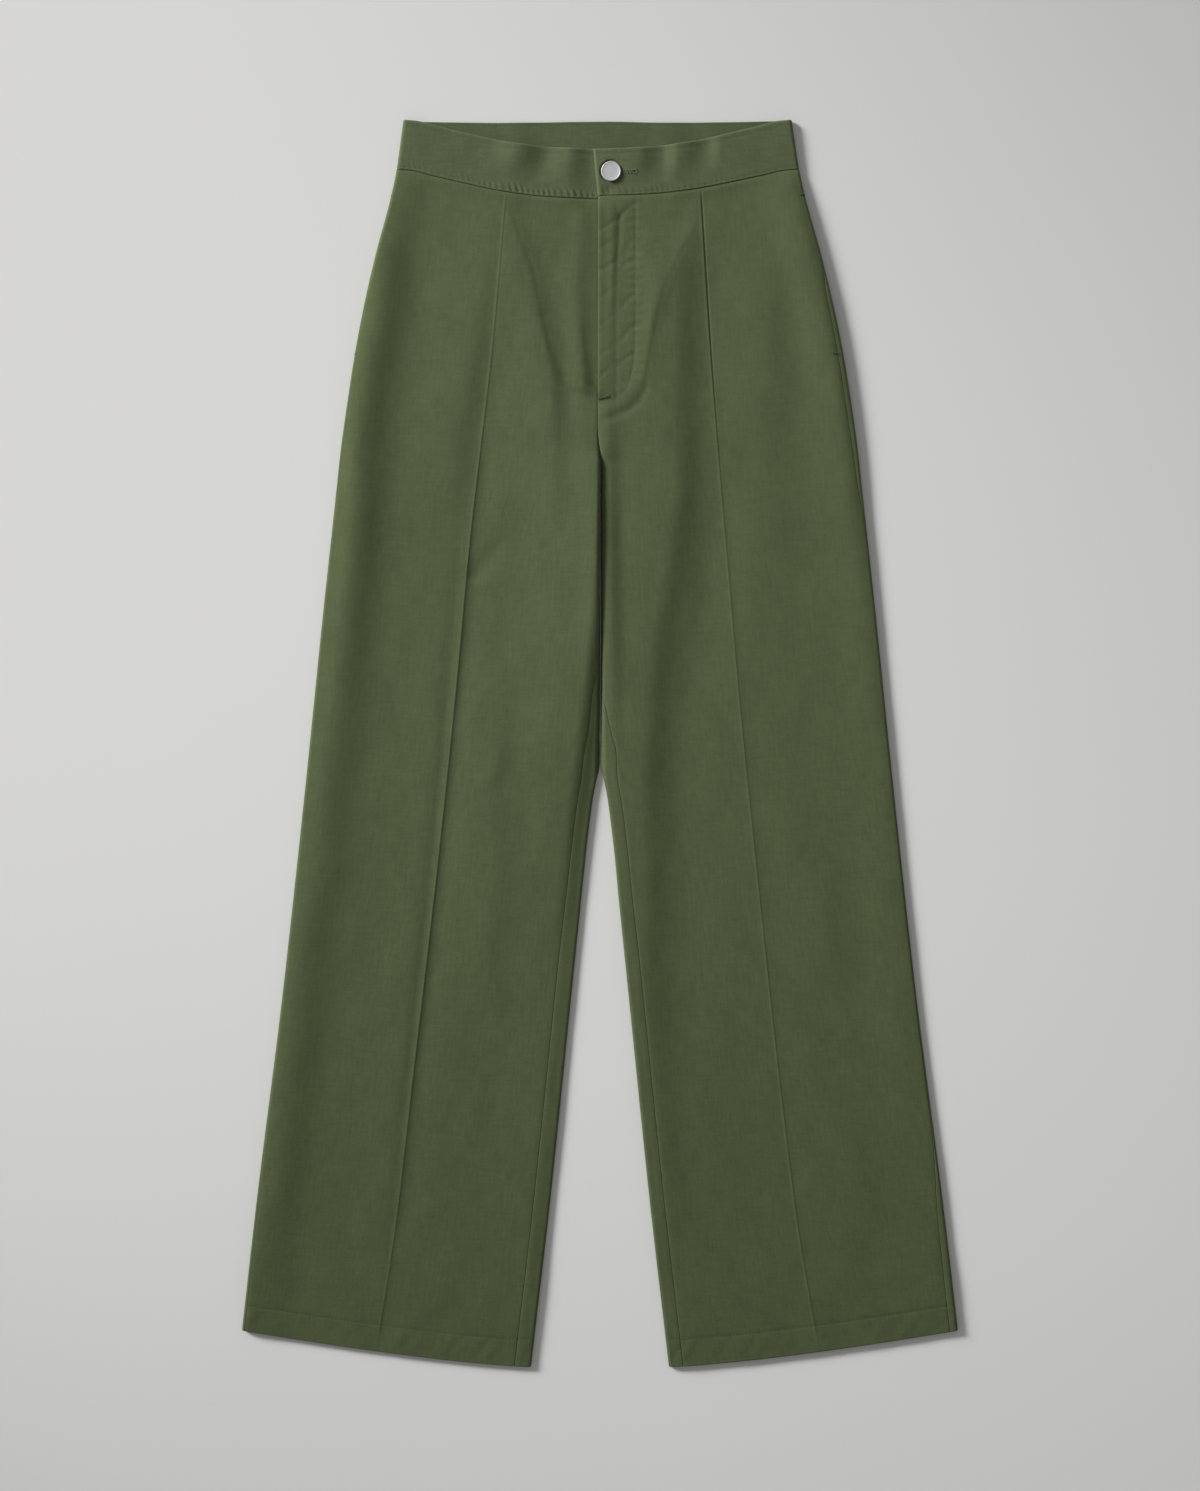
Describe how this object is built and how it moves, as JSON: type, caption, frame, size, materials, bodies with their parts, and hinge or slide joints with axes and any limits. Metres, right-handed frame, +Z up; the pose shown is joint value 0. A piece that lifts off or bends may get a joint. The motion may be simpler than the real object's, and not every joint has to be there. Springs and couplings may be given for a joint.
{
  "type": "wide-leg trousers",
  "caption": "Olive twill wide-leg trousers laid flat with the front up: contoured waistband, metal waist button, pintucked creases and turned-up hems.",
  "frame": {"origin": "middle of the trousers' outline, on the surface that they lie on", "axes": "+X to the wearer's left, which is on the right when looking down at the front; +Y up the trousers from the hems to the waist; +Z up, out of the front"},
  "size_m": [0.6446, 1.1224, 0.011],
  "materials": {
    "olive_twill": "matt cotton twill",
    "waistband_twill": "matt cotton twill, two plies",
    "facing_twill": "matt cotton twill, inner face",
    "pocketing": "plain cotton",
    "zip_tape": "woven tape",
    "button_metal": "satin silvery metal"
  },
  "bodies": {
    "root": {"front_right": "olive_twill", "front_left": "olive_twill", "back_right": "olive_twill", "back_left": "olive_twill", "waistband_front_right": "waistband_twill", "waistband_front_left": "waistband_twill", "waistband_back": "waistband_twill", "waistband_back_facing": "facing_twill", "pocket_bag_right": "pocketing", "pocket_bag_left": "pocketing", "fly_shield": "facing_twill", "fly_zip": "zip_tape", "waist_button": "button_metal"}
  },
  "joints": []
}
